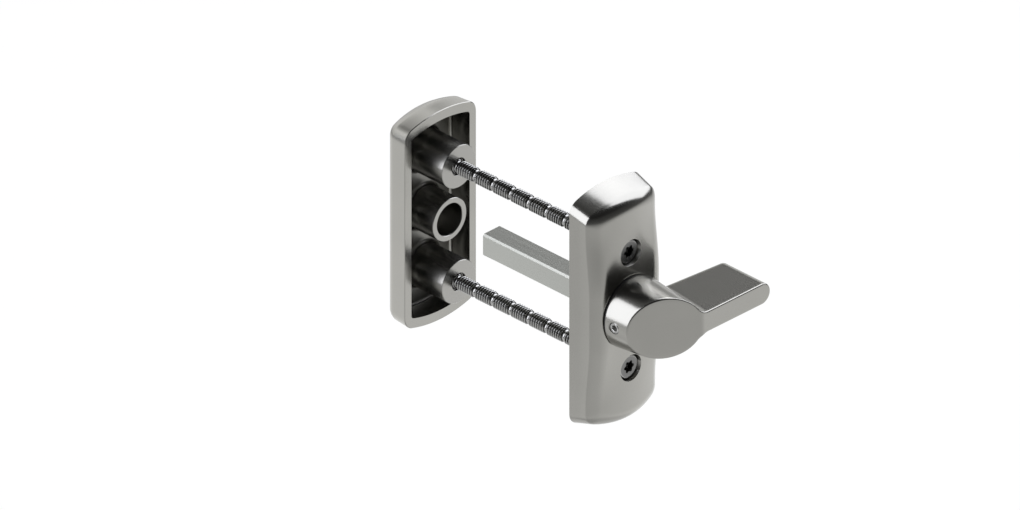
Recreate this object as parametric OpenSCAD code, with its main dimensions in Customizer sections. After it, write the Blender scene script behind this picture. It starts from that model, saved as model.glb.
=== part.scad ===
/* [Door and fixings] */
// Distance between the two plates' door faces, with the fixing screws just started in their posts
plate_gap = 73.3; // [68:0.1:90]
// Distance between the centres of the two fixing screws
fixing_centres = 42; // [40:0.5:46]

/* [Front plate] */
// Width of the front plate at the door
plate_w = 32; // [31:0.5:38]
// Height of the front plate at the door
plate_h = 85.6; // [82:0.1:100]
// Thickness of the front plate at its ridge
plate_t = 11.9; // [11.5:0.1:14]
// Radius of the curved top and bottom edges of the front plate
plate_end_r = 39; // [34:0.5:60]
// Radius of the front plate's four corners, seen from the front
plate_corner_r = 4.7; // [3:0.1:6]
// How far the long sides lean in between the door and their upper crease
plate_side_lean = 0.6; // [0.2:0.1:1.2]
// How far the top and bottom lean in between the door and their upper crease
plate_end_lean = 2.2; // [0.5:0.1:3]
// Height of the long sides' crease beside the thumb turn
crease_mid = 8.3; // [7:0.1:8.8]
// Height of the long sides' crease at the two ends
crease_end = 6.75; // [6:0.05:8]
// Height of the crease at the top and bottom points
crease_tip = 8.4; // [7:0.1:9]
// Width of the rounded edge beside the thumb turn
edge_mid = 5.6; // [4:0.1:7]
// Width of the rounded edge along the two ends' sides
edge_end = 4.1; // [3:0.1:6]
// Width of the rounded edge at the top and bottom
edge_tip = 4.85; // [3:0.05:6]
// Radius of the crowned face above and below the thumb turn
plate_crown_r = 36; // [30:1:80]
// Half height of the flat band that the thumb turn sits on
flat_band = 8; // [4:0.5:12]
// Height over which the flat band turns into the crowned face
band_blend = 24; // [10:0.5:26]
// Wall around the front plate's hollow back
plate_wall = 2.8; // [2:0.1:4]
// Radius in the corners of both plates' hollows, seen from the front
hollow_corner_r = 1.3; // [0.8:0.1:2]
// Depth of the front plate's hollow back
plate_hollow = 7.4; // [5:0.1:7.6]
// Diameter of the counterbore that hides a screw head
counterbore_d = 9.2; // [9:0.1:10]
// Diameter of the hollow back's boss around each screw
screw_boss_d = 12; // [10:0.5:13]
// Diameter of the hollow back's boss around the neck
neck_boss_d = 21; // [19.5:0.5:23]

/* [Rear plate] */
// Width of the rear plate at the door
rear_w = 32; // [31:0.5:38]
// Height of the rear plate at the door
rear_h = 76.2; // [74:0.1:90]
// Thickness of the rear plate at its middle
rear_t = 10.4; // [10:0.1:13]
// Radius of the curved top and bottom edges of the rear plate
rear_end_r = 44.5; // [38:0.5:70]
// Radius of the rear plate's four corners
rear_corner_r = 4.8; // [3:0.1:6]
// Height of the rear plate's sides, from the door to their crease
rear_crease = 5.9; // [4:0.1:7]
// Width of the rear plate's rounded edge
rear_edge = 3.4; // [2:0.1:5]
// Radius of the rear plate's slightly crowned outer face
rear_crown_r = 87; // [60:1:200]
// Thickness of the wall around the rear plate's hollow
rear_wall = 3; // [2:0.1:4]
// Thickness of the wall at the rear plate's top and bottom
rear_end_wall = 3.5; // [2:0.1:4]
// Thickness of the rear plate's floor at its middle
rear_floor = 2; // [1.6:0.1:3]
// Width of the low cast ring around the foot of each post
foot_ring_w = 1.25; // [0.8:0.05:2]
// Height of the low cast ring around the foot of each post
foot_ring_h = 1.2; // [0.6:0.1:2]
// Depth to which each post is let into the floor
post_seat = 0.6; // [0.3:0.1:0.8]
// Diameter of the spigot that each post stands on, inside its ring
post_spigot_d = 14; // [12.5:0.1:14.5]

/* [Posts] */
// Diameter of the three posts
post_d = 15; // [13:0.5:16]
// How far the two threaded posts stand out of the rear plate
post_out = 8.2; // [5:0.1:12]
// How far the centre post stands out of the rear plate
guide_out = 4.1; // [2:0.1:8]
// Bore of the centre post
guide_bore = 11.2; // [10.8:0.1:12]
// Diameter of the lead-in at the mouth of each threaded post
lead_in_d = 6.1; // [5.8:0.1:8]

/* [Thumb turn] */
// Radius of the knob where it meets the plate
knob_r = 12.5; // [11.5:0.1:14]
// Angle at which the knob narrows towards its face
knob_taper = 5.7; // [2:0.1:8]
// Height of the lever's front edge above the door face
turn_h = 34.1; // [30:0.1:40]
// Distance from the turning axis to the lever's tip
lever_reach = 40; // [32:0.5:50]
// Thickness of the lever
lever_t = 7.4; // [6:0.1:9]
// Height of the lever's back edge above the door face, at the knob
lever_back = 13.1; // [13:0.1:16]
// Slope of the lever's back edge
lever_rise = 5.3; // [0:0.1:8]
// Angle between the knob's oblique face and the plate
face_tilt = 30.5; // [20:0.5:34]
// Distance from the axis at which the oblique face meets the lever's front edge
face_meets = 10; // [8:0.5:12]
// Radius of the hollow fillets between the knob and the lever
web_fillet = 5; // [3:0.1:7]
// Diameter of the neck that turns in the front plate
neck_d = 14; // [13:0.1:14.5]
// Height of the grub screw above the door face
grub_h = 16.2; // [15.5:0.1:19]
// Nominal diameter of the grub screw
grub_d = 4; // [3:0.1:5]
// Across flats of the grub screw's hexagon socket
grub_hex = 2; // [1.5:0.1:2.2]

/* [Spindle] */
// Width of the square spindle
spindle_w = 8; // [7:0.1:8.5]
// Chamfer on the spindle's four long edges
spindle_chamfer = 0.6; // [0.3:0.1:1]
// How far the spindle reaches past the front plate's door face
spindle_out = 50.7; // [30:0.1:55]
// How far the spindle reaches into the thumb turn, from the door face
spindle_in = 22; // [20:0.5:24]

/* [Fixing screws] */
// Thread diameter of the fixing screws
thread_d = 5; // [4.5:0.1:5.2]
// Pitch of the thread
thread_pitch = 0.8; // [0.7:0.05:0.9]
// Thread turns from one break-off notch to the next
turns_per_notch = 10; // [8:1:14]
// Number of break-off notches
notches = 8; // [3:1:8]
// Diameter at the bottom of a break-off notch
notch_d = 3.6; // [3:0.1:4]
// Width of a break-off notch
notch_w = 1.7; // [1:0.1:2]
// Diameter of the screw head
head_d = 8; // [7:0.1:8.4]
// Height of the screw head
head_h = 3.2; // [2.6:0.1:3.6]
// How far the head lies below the ridge of the plate
head_sunk = 1; // [0.5:0.1:1.6]
// Diameter over the lobes of the head's six-lobe recess
drive_d = 4.4; // [3.6:0.1:4.6]
// How far each screw reaches into its post, as shown
screw_grip = 7.5; // [7:0.1:9.6]

/* [Bearing] */
// Wall of the bush that the neck turns in
bush_wall = 1; // [0.8:0.1:1.4]
// Thickness of the bush's flange under the knob
flange_t = 0.45; // [0.3:0.05:0.8]
// How far the bush's flange stays inside the knob's edge
flange_inset = 0.4; // [0.2:0.1:1]
// Height of the bush's inner end above the door face
bush_end = 3.4; // [3.3:0.1:4]
// Thickness of the retaining ring
ring_t = 1; // [0.8:0.1:1.1]
// Width of the retaining ring's band
ring_band = 2; // [1.5:0.1:2.2]
// Depth of the ring's groove in the neck
groove_depth = 0.3; // [0.2:0.05:0.5]
// Thickness of the spring washer's steel
spring_t = 0.35; // [0.25:0.05:0.4]

/* [Clearances] */
// Radial clearance of the neck in its bush
turn_fit = 0.05; // [0.02:0.01:0.09]
// Gap between flat faces that slide on each other
face_gap = 0.05; // [0.03:0.01:0.1]
// Radial clearance of a fixing screw in the front plate
screw_play = 0.25; // [0.2:0.05:0.4]
// Radial clearance of a screw thread in its tapped hole
thread_fit = 0.05; // [0.02:0.01:0.09]
// Clearance on each side of the spindle in its socket
socket_fit = 0.05; // [0.02:0.01:0.1]

/* [Hidden] */
$fn = 96;

satin_metal = [0.64, 0.635, 0.61];
bright_steel = [0.70, 0.70, 0.69];
dark_steel = [0.36, 0.36, 0.36];
dark_polymer = [0.10, 0.10, 0.10];

// Cuts run this far past the faces they open
cut = 1;
fixing_z = fixing_centres / 2;

// Outlines of the front plate at the door, at the crease and where the rounded edge meets the face
front_base = [plate_w / 2, plate_h / 2, plate_end_r, plate_corner_r];
front_crease = [plate_w / 2 - plate_side_lean, plate_h / 2 - plate_end_lean,
                plate_end_r - plate_end_lean, plate_corner_r - plate_side_lean / 2];
front_face = [front_crease[0] - edge_end, front_crease[1] - edge_tip,
              front_crease[2] - edge_tip, plate_corner_r / 4];

// The same three outlines of the rear plate
rear_lean = 0.4;
rear_base = [rear_w / 2, rear_h / 2, rear_end_r, rear_corner_r];
rear_side = [rear_w / 2 - rear_lean, rear_h / 2 - rear_lean, rear_end_r - rear_lean,
             rear_corner_r - rear_lean / 2];
rear_face = [rear_side[0] - rear_edge, rear_side[1] - rear_edge, rear_side[2] - rear_edge,
             rear_corner_r / 3];

// Angle through which a rounded edge turns, from the face to the crease
edge_sweep = 70;
edge_steps = 6;
face_columns = 8;
corner_steps = 5;
end_steps = 8;
side_steps = 10;

// Where there is no flat band, the rows along a straight side are spaced from here
plain_rows = 4;

knob_base = plate_t + flange_t + face_gap;
neck_r = neck_d / 2;
bush_bore_r = neck_r + turn_fit;
bush_r = bush_bore_r + bush_wall;

// The retaining ring's groove starts where the spring washer ends
spring_rise = 0.9;
groove_top = bush_end - spring_rise - face_gap;
groove_w = ring_t + face_gap;
groove_r = neck_r - groove_depth;
ring_r = groove_r + 0.02;
neck_end = 0.6;

head_top = plate_t - head_sunk;
head_seat = head_top - head_h;
post_mouth = plate_gap - post_out;
screw_tip = post_mouth + screw_grip;
thread_r = thread_d / 2;
thread_root_r = thread_r - 0.55 * thread_pitch;
notch_every = turns_per_notch * thread_pitch;
notch_taper = 0.5;
tapped_r = thread_r + thread_fit;

floor_y = plate_gap + rear_t - rear_floor;
post_shoulder = floor_y - foot_ring_h;
post_foot = floor_y + post_seat;
post_hole_end = floor_y - 0.4;

// A point between two values
function mix(a, b, t) = a + (b - a) * t;

// A soft step from 0 to 1 as z leaves the flat band
function ease(t) = let (k = min(1, max(0, t))) k * k * (3 - 2 * k);
function off_band(z, band, blend) = band > 0 ? ease((abs(z) - band) / blend) : 1;

// Outlines are [half width, half height, end radius, corner radius].
// Height at which the straight side ends and the corner begins
function corner_z(o) =
    o[1] - o[2] + sqrt(pow(o[2] - o[3], 2) - pow(o[0] - o[3], 2));

// Angle at which the corner's arc meets the end's arc
function corner_turn(o) = atan2(corner_z(o) - (o[1] - o[2]), o[0] - o[3]);

// A quarter of an outline, from the middle of the straight side to the tip
function quarter(o, band) = concat(
    [[o[0], 0], [o[0], band / 2]],
    [for (k = [0 : side_steps]) [o[0], mix(band, corner_z(o), k / side_steps)]],
    [for (k = [1 : corner_steps])
        let (a = corner_turn(o) * k / corner_steps)
        [o[0] - o[3] + o[3] * cos(a), corner_z(o) + o[3] * sin(a)]],
    [for (k = [1 : end_steps])
        let (a = mix(corner_turn(o), 90, k / end_steps))
        [k == end_steps ? 0 : o[2] * cos(a), o[1] - o[2] + o[2] * sin(a)]]
);

// The right half of an outline, from the top tip to the bottom tip
function right_half(o, band) = let (q = quarter(o, band), n = len(q) - 1)
    concat([for (i = [n : -1 : 0]) q[i]], [for (i = [1 : n]) [q[i][0], -q[i][1]]]);

// A whole outline, closed, clockwise from the top tip
function whole(half) = let (n = len(half) - 1)
    concat(half, [for (i = [n - 1 : -1 : 1]) [-half[i][0], half[i][1]]]);

// Height of the face, also where it is extended past its own edge
function face_height(p, t, crown, band, blend) =
    t - (crown - sqrt(crown * crown - p[0] * p[0])) * off_band(p[1], band, blend);

// A plate with leaning sides, a rounded edge and a crowned face, standing on the XZ plane
// and growing towards -Y. Heights are [side beside the band, side at the ends, tip] of the crease.
// mid_edge is the rounded edge's width beside the flat band
module domed_plate(base, crease, face, t, crown, heights, mid_edge, band, blend) {
    rows_from = band > 0 ? band : plain_rows;
    low = whole(right_half(base, rows_from));
    mid = whole(right_half(crease, rows_from));
    inner = [for (p = whole(right_half(face, rows_from)))
        let (wide = face[0], narrow = crease[0] - mid_edge, k = off_band(p[1], band, blend))
        [p[0] * mix(narrow / wide, 1, k), p[1]]];
    around = len(low);
    half = around / 2;
    crease_h = [for (p = mid)
        mix(heights[0], heights[1], off_band(p[1], band, blend))
        + (heights[2] - heights[1]) * (1 - pow(p[0] / crease[0], 2))];
    edge = [for (s = [1 : edge_steps], i = [0 : around - 1])
        let (
            a = edge_sweep * (1 - s / edge_steps),
            p = inner[i] + (mid[i] - inner[i]) * sin(a) / sin(edge_sweep),
            drop = face_height(mid[i], t, crown, band, blend) - crease_h[i]
        )
        [p[0], drop * (1 - cos(a)) / (1 - cos(edge_sweep))
               - face_height(p, t, crown, band, blend), p[1]]];
    grid = [for (i = [1 : half - 1], j = [1 : face_columns - 1])
        let (p = [inner[i][0] * (1 - 2 * j / face_columns), inner[i][1]])
        [p[0], -face_height(p, t, crown, band, blend), p[1]]];
    points = concat(
        [for (p = low) [p[0], 0, p[1]]],
        [for (i = [0 : around - 1]) [mid[i][0], -crease_h[i], mid[i][1]]],
        edge,
        grid
    );
    rings = edge_steps + 2;
    rim = (rings - 1) * around;
    first = rings * around;
    // Index of the face's point in row i and column j
    function at(i, j) =
        i == 0 ? rim :
        i == half ? rim + half :
        j == 0 ? rim + i :
        j == face_columns ? rim + around - i :
        first + (i - 1) * (face_columns - 1) + j - 1;
    bands = [for (r = [0 : rings - 2], i = [0 : around - 1])
        let (a = r * around + i, b = r * around + (i + 1) % around)
        each [[a, b, b + around], [a, b + around, a + around]]];
    rows = [for (i = [0 : half - 1], j = [0 : face_columns - 1])
        let (a = at(i, j), b = at(i, j + 1), c = at(i + 1, j + 1), d = at(i + 1, j))
        each [if (a != b) [a, d, b], if (c != d) [b, d, c]]];
    polyhedron(
        points = points,
        faces = concat([[for (i = [around - 1 : -1 : 0]) i]], bands, rows),
        convexity = 4
    );
}

// A flat outline, pushed from y towards -Y by the given depth
module outline_block(o, y, depth) {
    translate([0, y, 0])
        rotate([90, 0, 0])
            linear_extrude(depth)
                polygon(whole(right_half(o, plain_rows)));
}

// A cylinder or cone along Y, from y0 to y1, centred at the height z
module round_y(y0, y1, r0, r1, z = 0) {
    translate([0, y0, z])
        rotate([-90, 0, 0])
            cylinder(h = y1 - y0, r1 = r0, r2 = r1);
}

// An outline set in by the thickness of its side walls and its end walls
function inset(o, side, end) = [o[0] - side, o[1] - end, o[2] - end, hollow_corner_r];

module front_hollow() {
    difference() {
        outline_block(inset(front_base, plate_wall, plate_wall), cut, plate_hollow + cut);
        round_y(-plate_t, -bush_end, neck_boss_d / 2, neck_boss_d / 2);
        for (z = [-fixing_z, fixing_z])
            round_y(-plate_t, cut, screw_boss_d / 2, screw_boss_d / 2, z);
    }
}

module front_plate() {
    color(satin_metal)
        difference() {
            domed_plate(front_base, front_crease, front_face, plate_t, plate_crown_r,
                        [crease_mid, crease_end, crease_tip], edge_mid, flat_band, band_blend);
            front_hollow();
            round_y(-plate_t - cut, cut, bush_r, bush_r);
            for (z = [-fixing_z, fixing_z]) {
                round_y(-plate_t - cut, cut, thread_r + screw_play, thread_r + screw_play, z);
                round_y(-plate_t - cut, -head_seat, counterbore_d / 2, counterbore_d / 2, z);
            }
        }
}

module neck_bush() {
    color(dark_polymer)
        difference() {
            union() {
                round_y(-plate_t, -bush_end, bush_r, bush_r);
                round_y(-plate_t - flange_t, -plate_t, knob_r - flange_inset,
                        knob_r - flange_inset);
            }
            round_y(-knob_base - cut, cut, bush_bore_r, bush_bore_r);
        }
}

// Radius of the knob at a height above the door face
function knob_at(h) = knob_r - (h - plate_t) * tan(knob_taper);

// Height of the lever's back edge at a distance from the axis
function lever_low(x) = lever_back + (x - knob_r) * tan(lever_rise);

// Distance from the axis to the hollow fillet's centre, at a height
fillet_z = lever_t / 2 + web_fillet;
function fillet_x(h) = sqrt(pow(knob_at(h) + web_fillet, 2) - pow(fillet_z, 2));

module lever_blade() {
    root = knob_r / 2;
    round_x = lever_reach - lever_t / 2;
    intersection() {
        linear_extrude(lever_t, center = true)
            polygon([[root, -lever_low(root)], [lever_reach + cut, -lever_low(lever_reach + cut)],
                     [lever_reach + cut, -turn_h - cut], [root, -turn_h - cut]]);
        union() {
            translate([0, -turn_h - 2 * cut, -lever_t])
                cube([round_x, turn_h + cut, 2 * lever_t]);
            translate([round_x, 0, 0])
                round_y(-turn_h - 2 * cut, -cut, lever_t / 2, lever_t / 2);
        }
    }
}

// The stretch where the lever grows out of the knob, hollowed on both sides. It stands a
// hair proud of the lever and stops short of the knob's tangent, so that surfaces cross
module lever_web() {
    proud = 0.02;
    short = 0.6;
    top = turn_h + cut;
    root = knob_r / 2 + cut;
    low_x = fillet_x(knob_base);
    top_x = fillet_x(top);
    lean = atan((low_x - top_x) / (top - knob_base));
    half_z = knob_r * fillet_z / (knob_r + web_fillet) - short;
    difference() {
        linear_extrude(2 * half_z, center = true)
            polygon([[root, -lever_low(root) - proud], [low_x, -lever_low(low_x) - proud],
                     [top_x, -top], [root, -top]]);
        for (z = [-fillet_z, fillet_z])
            translate([low_x, -knob_base, z])
                rotate([0, 0, -lean])
                    round_y(-turn_h, turn_h, web_fillet - proud, web_fillet - proud);
    }
}

// Everything in front of the knob's oblique face and of the lever's front edge
module front_cut() {
    far = 2 * lever_reach;
    linear_extrude(far, center = true)
        polygon([[face_meets, -turn_h], [far, -turn_h], [far, -far], [-far, -far],
                 [-far, -turn_h + (far + face_meets) * tan(face_tilt)]]);
}

module thumb_turn() {
    socket = spindle_w + 2 * socket_fit;
    color(satin_metal)
        difference() {
            union() {
                round_y(-turn_h - cut, -knob_base, knob_at(turn_h + cut), knob_at(knob_base));
                lever_blade();
                lever_web();
                round_y(-knob_base - cut, -neck_end, neck_r, neck_r);
            }
            front_cut();
            translate([-socket / 2, -spindle_in, -socket / 2])
                cube([socket, spindle_in + cut, socket]);
            difference() {
                round_y(-groove_top, groove_w - groove_top, neck_r + cut, neck_r + cut);
                round_y(-plate_t, cut, groove_r, groove_r);
            }
            translate([-knob_r - cut, -grub_h, 0])
                rotate([0, 90, 0])
                    cylinder(h = knob_r + cut, d = grub_d);
        }
}

module spindle() {
    h = spindle_w / 2;
    c = h - spindle_chamfer;
    color(bright_steel)
        translate([0, spindle_out, 0])
            rotate([90, 0, 0])
                linear_extrude(spindle_out + spindle_in)
                    polygon([[h, -c], [h, c], [c, h], [-c, h], [-h, c], [-h, -c], [-c, -h], [c, -h]]);
}

module grub_screw() {
    sunk = 0.4;
    outer = knob_at(grub_h) - sunk;
    length = outer - spindle_w / 2;
    r = grub_d / 2 - thread_fit;
    bevel = 0.4;
    color(dark_steel)
        translate([-outer, -grub_h, 0])
            rotate([0, 90, 0])
                difference() {
                    union() {
                        cylinder(h = bevel, r1 = r - bevel, r2 = r);
                        translate([0, 0, bevel])
                            cylinder(h = length - 2 * bevel, r = r);
                        translate([0, 0, length - bevel])
                            cylinder(h = bevel, r1 = r, r2 = r - bevel);
                    }
                    translate([0, 0, -cut])
                        cylinder(h = cut + grub_hex, r = grub_hex / sqrt(3), $fn = 6);
                }
}

// A shallow cone of spring steel between the bush's boss and the retaining ring
module spring_washer() {
    inner = neck_r + 0.2;
    outer = neck_boss_d / 2 - 0.9;
    rise = spring_rise - spring_t - face_gap;
    color(bright_steel)
        translate([0, -groove_top - face_gap / 2, 0])
            rotate([90, 0, 0])
                rotate_extrude()
                    polygon([[inner, 0], [outer, rise], [outer, rise + spring_t],
                             [inner, spring_t]]);
}

module retaining_ring() {
    outer = ring_r + ring_band;
    gap_angle = 28;
    ear_r = 1.6;
    ear_hole_r = 0.7;
    ear_at = outer - 0.3;
    color(dark_steel)
        translate([0, -groove_top + groove_w - face_gap / 2, 0])
            rotate([90, 0, 0])
                difference() {
                    union() {
                        difference() {
                            cylinder(h = ring_t, r = outer);
                            translate([0, 0, -cut])
                                linear_extrude(ring_t + 2 * cut)
                                    polygon([[0, 0],
                                             [2 * outer * cos(-90 - gap_angle),
                                              2 * outer * sin(-90 - gap_angle)],
                                             [2 * outer * cos(-90 + gap_angle),
                                              2 * outer * sin(-90 + gap_angle)]]);
                        }
                        for (a = [-90 - gap_angle, -90 + gap_angle])
                            rotate(a)
                                translate([ear_at, 0, 0])
                                    cylinder(h = ring_t, r = ear_r);
                    }
                    translate([0, 0, -cut])
                        cylinder(h = ring_t + 2 * cut, r = ring_r);
                    for (a = [-90 - gap_angle, -90 + gap_angle])
                        rotate(a)
                            translate([ear_at, 0, -cut])
                                cylinder(h = ring_t + 2 * cut, r = ear_hole_r);
                }
}

// Half outline of a fixing screw as [radius, distance from the head's face], with ring-shaped
// grooves for the thread and deeper notches where the screw is broken off to length
function screw_outline(length) =
    let (
        bevel = 0.3,
        notch_r = notch_d / 2,
        turns = floor((notch_every - notch_w) / thread_pitch),
        lead = (notch_every - turns * thread_pitch) / 2
    )
    concat(
        [[0, 0], [head_d / 2 - bevel, 0], [head_d / 2, bevel], [head_d / 2, head_h]],
        [[thread_r, head_h]],
        [for (s = [notches : -1 : 0])
            let (start = length - (s + 1) * notch_every)
            each concat(
                [[notch_r, start + notch_w / 2 - notch_taper],
                 [thread_r, start + notch_w / 2]],
                [for (k = [0 : turns - 1])
                    let (a = start + lead + k * thread_pitch)
                    each [[thread_r, a + 0.15 * thread_pitch],
                          [thread_root_r, a + 0.45 * thread_pitch],
                          [thread_root_r, a + 0.6 * thread_pitch],
                          [thread_r, a + 0.9 * thread_pitch]]],
                s > 0
                    ? [[thread_r, start + notch_every - notch_w / 2],
                       [notch_r, start + notch_every - notch_w / 2 + notch_taper]]
                    : [[thread_r, length - notch_taper], [thread_root_r - 0.1, length]]
            )],
        [[0, length]]
    );

module fixing_screw(z) {
    lobe_r = drive_d / 8;
    drive_depth = 2;
    color(dark_steel)
        translate([0, -head_top, z])
            rotate([-90, 0, 0])
                difference() {
                    rotate_extrude($fn = 48)
                        polygon(screw_outline(head_top + screw_tip));
                    translate([0, 0, -cut]) {
                        cylinder(h = cut + drive_depth, r = drive_d / 2 - lobe_r);
                        for (a = [0 : 60 : 300])
                            rotate(a)
                                translate([drive_d / 2 - lobe_r, 0, 0])
                                    cylinder(h = cut + drive_depth, r = lobe_r, $fn = 24);
                    }
                }
}

module upper_fixing_screw() {
    fixing_screw(fixing_z);
}

module lower_fixing_screw() {
    fixing_screw(-fixing_z);
}

module rear_plate() {
    ring_r = post_d / 2 + foot_ring_w;
    spigot_r = post_spigot_d / 2;
    color(satin_metal)
        difference() {
            union() {
                difference() {
                    translate([0, plate_gap, 0])
                        mirror([0, 1, 0])
                            domed_plate(rear_base, rear_side, rear_face, rear_t, rear_crown_r,
                                        [rear_crease, rear_crease, rear_crease], rear_edge, 0, 0);
                    outline_block(inset(rear_base, rear_wall, rear_end_wall), floor_y,
                                  floor_y - plate_gap + cut);
                }
                for (z = [-fixing_z, 0, fixing_z])
                    round_y(post_shoulder, floor_y, ring_r, ring_r, z);
            }
            for (z = [-fixing_z, 0, fixing_z])
                round_y(post_shoulder - cut, post_foot, spigot_r, spigot_r, z);
        }
}

// A post from its mouth to the shoulder that sits on its ring, and the spigot under it
module post_blank(mouth, z) {
    round_y(mouth, post_shoulder, post_d / 2, post_d / 2, z);
    round_y(post_shoulder - cut, post_foot, post_spigot_d / 2, post_spigot_d / 2, z);
}

module threaded_post(z) {
    lead_in = 1.2;
    color(satin_metal)
        difference() {
            post_blank(post_mouth, z);
            round_y(post_mouth - cut, post_hole_end, tapped_r, tapped_r, z);
            round_y(post_mouth - cut, post_mouth + lead_in, lead_in_d / 2, lead_in_d / 2, z);
        }
}

module upper_threaded_post() {
    threaded_post(fixing_z);
}

module lower_threaded_post() {
    threaded_post(-fixing_z);
}

module centre_guide_post() {
    color(satin_metal)
        difference() {
            post_blank(plate_gap - guide_out, 0);
            round_y(plate_gap - guide_out - cut, post_hole_end, guide_bore / 2, guide_bore / 2);
        }
}

front_plate();
neck_bush();
thumb_turn();
spindle();
grub_screw();
spring_washer();
retaining_ring();
upper_fixing_screw();
lower_fixing_screw();
rear_plate();
upper_threaded_post();
lower_threaded_post();
centre_guide_post();
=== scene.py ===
import math

import bmesh
import bpy
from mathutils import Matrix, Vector
from mathutils.bvhtree import BVHTree
from mathutils.geometry import barycentric_transform


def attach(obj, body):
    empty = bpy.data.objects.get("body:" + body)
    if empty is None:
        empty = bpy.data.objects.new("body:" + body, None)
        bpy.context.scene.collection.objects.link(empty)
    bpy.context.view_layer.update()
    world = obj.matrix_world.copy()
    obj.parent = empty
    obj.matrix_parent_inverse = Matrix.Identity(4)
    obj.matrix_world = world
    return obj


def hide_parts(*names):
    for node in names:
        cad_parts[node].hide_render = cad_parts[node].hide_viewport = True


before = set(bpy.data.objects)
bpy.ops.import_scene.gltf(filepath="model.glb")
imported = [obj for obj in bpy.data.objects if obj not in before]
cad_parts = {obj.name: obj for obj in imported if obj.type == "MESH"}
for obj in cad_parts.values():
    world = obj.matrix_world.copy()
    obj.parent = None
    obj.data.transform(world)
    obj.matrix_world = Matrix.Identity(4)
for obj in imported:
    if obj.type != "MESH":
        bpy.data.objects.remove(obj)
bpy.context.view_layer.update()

# Lengths are written in millimetres, as [x, y, z] in the part's own frame, and scaled here
MM = 0.001

# The photograph: a parallel view from the front left and above
PHOTO_W = 1020
PIXELS_PER_MM = 3.165
VIEW_AZIMUTH = math.radians(-45)
VIEW_ELEVATION = math.radians(30)
VIEW_CENTRE = (0.0, 42.27, -1.92)
CAMERA_DISTANCE = 0.8

# Sizes that several pieces share
FIXING_Z = 21.0
FRONT_THICK = 11.9
GRUB_H = 16.2
PLATE_GAP = 73.3
POST_R = 7.5
FLOOR_Y = 81.7

# Material slots of a casting: its plated outside, and the rougher surfaces cut into it
OUTSIDE = 0
INSIDE = 1


# Meshes

# Limits in metres and radians: doubled points, edges without length, edges shaded sharp
WELD_DISTANCE = 1e-6
NO_LENGTH = 1e-7
SHARP_ANGLE = math.radians(28)

# Faces that lean less than FLAT_ANGLE are one plane. Flats over FLAT_AREA, in square metres,
# keep their own direction.
FLAT_ANGLE = math.radians(0.1)
FLAT_AREA = 3e-5

# A face or corner this near the surface before a cut keeps that surface's shading. A corner is
# looked up TOWARD_MIDDLE of the way to its face's middle. The direction found there has to be
# the face's own, with a cosine over SAME_SIDE.
FACE_NEAR = 2e-6
CORNER_NEAR = 5e-6
TOWARD_MIDDLE = 0.02
SAME_SIDE = 0.8


def mix(a, b, t):
    return a + (b - a) * t


def ease(t):
    """Runs softly from 0 to 1 while t runs from 0 to 1."""
    k = min(1.0, max(0.0, t))
    return k * k * (3 - 2 * k)


def full_turn(count):
    """Angles spread evenly over a full turn."""
    return [2 * math.pi * i / count for i in range(count)]


def round_ring(radii, y, z=0.0):
    """A closed ring about the Y axis at height z, with a radius for each of its points."""
    angles = full_turn(len(radii))
    return [(r * math.cos(a), y, z + r * math.sin(a)) for r, a in zip(radii, angles)]


def make_object(name, points, faces):
    """A mesh object from points in millimetres."""
    mesh = bpy.data.meshes.new(name)
    mesh.from_pydata([(x * MM, y * MM, z * MM) for x, y, z in points], [], faces)
    mesh.validate()
    obj = bpy.data.objects.new(name, mesh)
    bpy.context.scene.collection.objects.link(obj)
    return obj


def smooth(obj, angle=SHARP_ANGLE):
    obj.data.shade_smooth()
    obj.data.set_sharp_from_angle(angle=angle)


def outward(obj):
    """Turns the faces outward, welds doubled points and shades smooth up to the sharp angle."""
    bm = bmesh.new()
    bm.from_mesh(obj.data)
    bmesh.ops.remove_doubles(bm, verts=bm.verts, dist=WELD_DISTANCE)
    bmesh.ops.dissolve_degenerate(bm, edges=bm.edges, dist=NO_LENGTH)
    bmesh.ops.recalc_face_normals(bm, faces=bm.faces)
    bm.to_mesh(obj.data)
    bm.free()
    smooth(obj)
    return obj


def wall_faces(count, levels):
    """Faces between closed rings of count points each, numbered ring after ring."""
    faces = []
    for r in range(levels - 1):
        for i in range(count):
            j = (i + 1) % count
            faces.append((r * count + i, r * count + j, (r + 1) * count + j, (r + 1) * count + i))
    return faces


def row_faces(base, count, first, columns):
    """Faces across a ring, in rows from its one side to its other side.

    The ring's points are numbered from base, and those inside the rows from first.
    """
    half = count // 2

    def at(i, j):
        if i in (0, half) or j == 0:
            return base + i
        if j == columns:
            return base + count - i
        return first + (i - 1) * (columns - 1) + j - 1

    faces = []
    for i in range(half):
        for j in range(columns):
            corners = [at(i, j), at(i, j + 1), at(i + 1, j + 1), at(i + 1, j)]
            kept = [c for k, c in enumerate(corners) if c not in corners[:k]]
            if len(kept) > 2:
                faces.append(tuple(kept))
    return faces


def loft(name, rings):
    """A skin over closed rings of equal length, with its two ends filled by fans."""
    count = len(rings[0])
    points = [p for ring in rings for p in ring]
    faces = wall_faces(count, len(rings))
    for end in (0, len(rings) - 1):
        middle = len(points)
        points.append(tuple(sum(p[k] for p in rings[end]) / count for k in range(3)))
        for i in range(count):
            faces.append((end * count + i, end * count + (i + 1) % count, middle))
    return outward(make_object(name, points, faces))


def closed_band(name, sections):
    """A skin over closed sections of equal length, with the last one joined to the first."""
    n = len(sections[0])
    faces = []
    for i in range(len(sections)):
        j = (i + 1) % len(sections)
        for k in range(n):
            m = (k + 1) % n
            faces.append((i * n + k, i * n + m, j * n + m, j * n + k))
    return outward(make_object(name, [p for section in sections for p in section], faces))


def lathe(name, profile, z=0.0, around=96):
    """A turned solid about the Y axis at height z. The profile holds [radius, y] pairs."""
    return loft(name, [round_ring([r] * around, y, z) for r, y in profile])


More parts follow.
